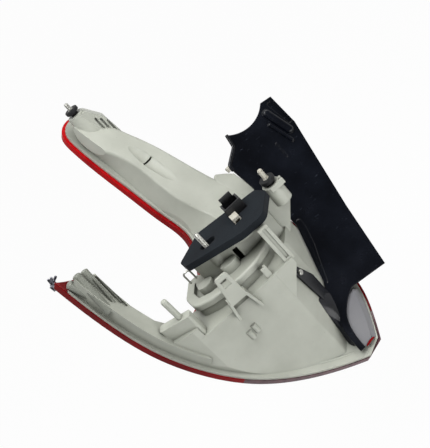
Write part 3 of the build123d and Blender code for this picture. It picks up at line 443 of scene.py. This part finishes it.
def threaded_stud(node, thread):
    """Stud for a CAD stud, turned round its axis: a plain shoulder of PLAIN_R up to the thread, then the
    radius is STUD_R less THREAD_DEPTH times a triangle wave of (height / pitch - turn), drawn in along the
    nose, and both ends are drawn in to the axis."""
    low, high = (np.array(c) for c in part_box(node))
    centre = (low + high)[:2] / 2
    top = high[2]
    start = top - thread
    plain = np.array([low[2], start - PLAIN_STEP])
    threads = np.linspace(start, top, int(thread / THREAD_PITCH * RINGS_PER_PITCH))
    turns = np.linspace(0, 2 * np.pi, STUD_PLACES, endpoint=False)
    z, turn = np.meshgrid(np.concatenate([plain, threads]), turns, indexing="ij")
    wave = np.abs(((z / THREAD_PITCH - turn / (2 * np.pi)) % 1.0) * 2 - 1)
    nose = np.clip(z - (top - STUD_NOSE), 0, STUD_NOSE)
    radius = np.where(z < start, PLAIN_R, STUD_R - THREAD_DEPTH * wave - nose * NOSE_SLOPE)
    side = np.stack([centre[0] + radius * np.cos(turn), centre[1] + radius * np.sin(turn), z], axis=-1)
    ends = side[[0, -1]].copy()
    ends[..., :2] = centre + (ends[..., :2] - centre) * END_SHARE
    return ring_mesh(node + "_thread", np.concatenate([ends[:1], side, ends[1:]]))


def bar(name, path, wide, high, blunt):
    """Bar round a path, all in mm: at the length s along it the ring is centre(s) + e(s) (wide(s) cos a +
    high(s) sin a), where e = sqrt(1 - (1 - d / blunt)^2) at a distance d < blunt from either end, else 1."""
    path, wide, high = (np.array(v, float) * MM for v in (path, wide, high))
    high *= np.sign(np.dot(np.cross(wide[0], high[0]), path[-1] - path[0]))
    knots = np.concatenate([[0], np.cumsum(np.linalg.norm(np.diff(path, axis=0), axis=1))])
    s = (1 - np.cos(np.linspace(0, np.pi, BAR_RINGS))) / 2 * knots[-1]
    inset = np.clip(1 - np.minimum(s, knots[-1] - s) / (blunt * MM), 0, 1)
    ease = np.maximum(np.sqrt(1 - inset ** 2), END_SHARE)[:, None, None]
    path, wide, high = (
        np.stack([np.interp(s, knots, v[:, k]) for k in range(3)], -1)[:, None] for v in (path, wide, high))
    turn = np.linspace(0, 2 * np.pi, BAR_PLACES, endpoint=False)[None, :, None]
    return ring_mesh(name, path + ease * (wide * np.cos(turn) + high * np.sin(turn)))


def skin(angle, station, depth):
    """Point under the lens's skin, in mm: at an angle round the rake axis and a station along it, with the
    radius BARREL_R - station^2 / BARREL_BOW - depth."""
    radius = BARREL_R - station ** 2 / BARREL_BOW - depth
    turn = np.radians(angle)
    across = np.array([-radius * np.sin(turn), 0, 0]) - INWARD * radius * np.cos(turn)
    return BARREL_CENTRE + across + RAKE_AXIS * station


def pipe(name, head, foot):
    """Pipe of PIPE_R between two points of the skin, with a blunt end of PIPE_END past each of them."""
    top, low = skin(*head), skin(*foot)
    run = (top - low) / np.linalg.norm(top - low)
    across = np.cross(run, INWARD)
    across *= PIPE_R / np.linalg.norm(across)
    ends = [low - run * PIPE_END, top + run * PIPE_END]
    return bar(name, ends, [across] * 2, [np.cross(run, across)] * 2, PIPE_END)


def blade(name, head, foot):
    """Thin upright rib between two points on the lower arm, which stands BLADE_STAND out of it."""
    run = np.array(foot) - np.array(head)
    across = np.cross(run, BLADE_STAND)
    across *= BLADE_HALF / np.linalg.norm(across)
    return bar(name, [head, foot], [across] * 2, [BLADE_STAND] * 2, BLADE_END)


def leaf(name, tip):
    """Flat leaf of the spring clip, from its root to its tip, with its broad side to the lamp's back."""
    run = np.array(tip) - np.array(CLIP_ROOT)
    across = np.cross(run, PICTURE_BACK)
    across *= LEAF_HALF_WIDE / np.linalg.norm(across)
    flat = np.cross(run, across)
    flat *= LEAF_HALF_THICK / np.linalg.norm(flat)
    return bar(name, [CLIP_ROOT, tip], [across] * 2, [flat] * 2, LEAF_END)


def plate(name, one, other, half):
    """Plate with rounded edges between two lines, a little sunk: its face is square to both its runs, and
    looks the way the lamp's back does."""
    one, other = np.array(one, float), np.array(other, float)
    middle = (one + other) / 2
    face = np.cross(other - one, np.gradient(middle, axis=0))
    face *= (np.sign(face @ np.array(PICTURE_BACK)) / np.linalg.norm(face, axis=1))[:, None]
    return bar(name, middle - face * half * PLATE_SINK, (other - one) / 2, face * half, PLATE_END)


def paint(finish, *names):
    """Gives CAD nodes a finish."""
    for name in names:
        slots = nodes[name].data.materials
        slots.clear()
        slots.append(finish)


def dress(piece, finish, slot, *stands_for):
    """New piece on the one body, with its finish and the CAD nodes that it stands for."""
    piece.data.materials.append(finish)
    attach(piece, "root")
    if stands_for:
        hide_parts(*stands_for)


def area_light(name, way, distance, size, power, colour):
    """Soft square lamp that looks at the object's middle from a direction."""
    lamp = bpy.data.lights.new(name, "AREA")
    lamp.size = size
    lamp.energy = power
    lamp.color = linear(colour)[:3]
    made = bpy.data.objects.new(name, lamp)
    bpy.context.collection.objects.link(made)
    back = np.array(way) / np.linalg.norm(way)
    right = np.cross((0, 0, 1), back)
    right /= np.linalg.norm(right)
    turn = np.eye(4)
    turn[:3, 0], turn[:3, 1], turn[:3, 2] = right, np.cross(back, right), back
    turn[:3, 3] = LAMP_TARGET + back * distance
    made.matrix_world = Matrix(turn.tolist())


def pale_floor():
    """Pale painted floor that glows white to the eye, so that it has no edge against the background."""
    bpy.ops.mesh.primitive_plane_add(size=FLOOR_SIZE, location=(0, 0, cad_box[0][2] - FLOOR_DROP))
    floor = bpy.context.object
    floor.name = "studio_floor"
    material, tree, place = new_material("pale_floor")
    mottle = add(tree, "TexNoise", {"Vector": place, "Scale": per_mm(300)})
    pale = add(tree, "Mix", {"Factor": mottle, "A": linear("#F4F4F4"), "B": linear("#FAFAFA")}, **COLOURS)
    shader = add(tree, "BsdfPrincipled", {"Base Color": pale, "Roughness": 0.6})
    path = add(tree, "LightPath").outputs
    seen = add(tree, "Math", {0: path["Is Camera Ray"], 1: path["Is Glossy Ray"]}, operation="MAXIMUM")
    seen = add(tree, "Math", {0: seen, 1: path["Is Transmission Ray"]}, operation="MAXIMUM")
    white = add(tree, "Emission", {"Color": linear("#FFFFFF"), "Strength": 1.0})
    share = add(tree, "Math", {0: seen, 1: FLOOR_GLOW}, operation="MULTIPLY")
    mixed = add(tree, "MixShader", {0: share, 1: shader, 2: white})
    add(tree, "OutputMaterial", {"Surface": mixed})
    floor.data.materials.append(material)


def white_sweep():
    """White sky: white to the eye, dim on matt faces, and in glossy ones darker at the front than behind."""
    world = bpy.data.worlds.new("white_sweep")
    bpy.context.scene.world = world
    world.use_nodes = True
    tree = world.node_tree
    sky = tree.nodes["Background"]
    sky.inputs["Color"].default_value = linear("#FFFFFF")
    path = add(tree, "LightPath").outputs
    way = add(tree, "SeparateXYZ", {"Vector": add(tree, "TexCoord").outputs["Generated"]}).outputs["Y"]
    sweep = add(tree, "MapRange", {0: way, 1: FRONT_Y, 2: SWEEP_Y, 3: FRONT_LIGHT, 4: SWEEP_LIGHT})
    bright = {0: path["Is Glossy Ray"], 1: path["Is Transmission Ray"]}
    gloss = add(tree, "Math", bright, operation="MAXIMUM")
    shown = add(tree, "Mix", {"Factor": gloss, "A": SKY_FILL, "B": sweep})
    plain = add(tree, "Mix", {"Factor": path["Is Camera Ray"], "A": shown, "B": 1.0})
    tree.links.new(plain.outputs["Result"], sky.inputs["Strength"])


def photo_camera():
    """Camera with the photo's eye, picture axes and focal length."""
    data = bpy.data.cameras.new("photo_camera")
    data.sensor_width = SENSOR
    data.sensor_fit = "AUTO"
    data.lens = SENSOR * FOCAL_PIXELS / max(PICTURE_SIZE)
    made = bpy.data.objects.new("photo_camera", data)
    bpy.context.collection.objects.link(made)
    turn = np.eye(4)
    turn[:3, 0], turn[:3, 1], turn[:3, 2], turn[:3, 3] = PICTURE_RIGHT, PICTURE_UP, PICTURE_BACK, EYE
    made.matrix_world = Matrix(turn.tolist())
    bpy.context.scene.camera = made


abs_grey = moulded_abs("moulded_abs_light_grey", "#BEC1B6", "#B2B5AA", "#5C5D56")
# Painted shade: a darker copy of the housing's ABS, for the lower arm's pipes and blades
shaded_abs_grey = moulded_abs("moulded_abs_shaded_grey", "#888B82", "#7B7E75", "#464742")
cover_grey = moulded_abs("moulded_abs_mid_grey", "#868689", "#7A7A7E", "#4C4D50")
red = red_acrylic()
black_trim = scuffed_trim()
zinc = zinc_plate("zinc_plated_steel", "#9A9A95", "#C4C4BE")
spring = zinc_plate("dark_spring_steel", "#2C2C32", "#7C7C84")
nylon = natural_nylon()
rubber = moulded_rubber()
paint(abs_grey, "housing", "bulb_carrier")
paint(cover_grey, "side_cover")
paint(red, "red_lens")
paint(clear_acrylic(), "clear_lens")
paint(black_trim, "trim_panel")
paint(closed_foam(), "foam_gasket")
paint(rubber, "arm_grommet", "inboard_grommet", "carrier_seal")
paint(zinc, "carrier_clip", "trim_screw")
paint(spring, "tip_clip")
paint(nylon, "connector_lock", "trim_clip")
paint(connector_nylon(), "connector_housing")
paint(tinned_brass(), "connector_pins")
paint(vacuum_metal(), "reflector")
paint(bulb_glass(), "stop_bulb", "reverse_bulb")
dress(threaded_stud("main_stud", MAIN_THREAD), zinc, "zinc_steel", "main_stud")
dress(threaded_stud("arm_stud", ARM_THREAD), zinc, "zinc_steel", "arm_stud")
dress(threaded_stud("inboard_stud", INBOARD_THREAD), nylon, "pale_plastic", "inboard_stud")
# The lower arm's pipes and blades take the darker copy of the housing's ABS, as painted shade
for number, (head, foot) in enumerate(PIPES):
    dress(pipe(f"arm_pipe_{number}", head, foot), shaded_abs_grey, "housing_abs")
for number, (head, foot) in enumerate(BLADES):
    dress(blade(f"arm_blade_{number}", head, foot), shaded_abs_grey, "housing_abs")
for number, tip in enumerate(CLIP_TIPS):
    dress(leaf(f"clip_leaf_{number}", tip), spring, "zinc_steel")
dress(plate("shoulder", SHOULDER_FOOT, SHOULDER_RIM, SHOULDER_HALF), abs_grey, "housing_abs")
dress(plate("flange_strip", STRIP_LOW, STRIP_HIGH, STRIP_HALF), abs_grey, "housing_abs")
dress(plate("trim_flank", FLANK_EDGE, FLANK_RIDGE, FLANK_HALF), black_trim, "black_trim")
# Partly the trim's return, partly a black sheet for painted shade on the housing's side wall
dress(plate("trim_return_and_shade_sheet", RETURN_SHADE_EDGE, RETURN_NEAR, RETURN_HALF), black_trim, "black_trim")
dress(plate("cover_skirt", SKIRT_EDGE, SKIRT_RIM, SKIRT_HALF), cover_grey, "grey_cover")
dress(plate("lens_fold", FOLD_INNER, FOLD_OUTER, FOLD_HALF), red, "red_acrylic")
for lamp in LAMPS:
    area_light(*lamp)
pale_floor()
white_sweep()
photo_camera()
bpy.context.scene.view_settings.view_transform = "Standard"
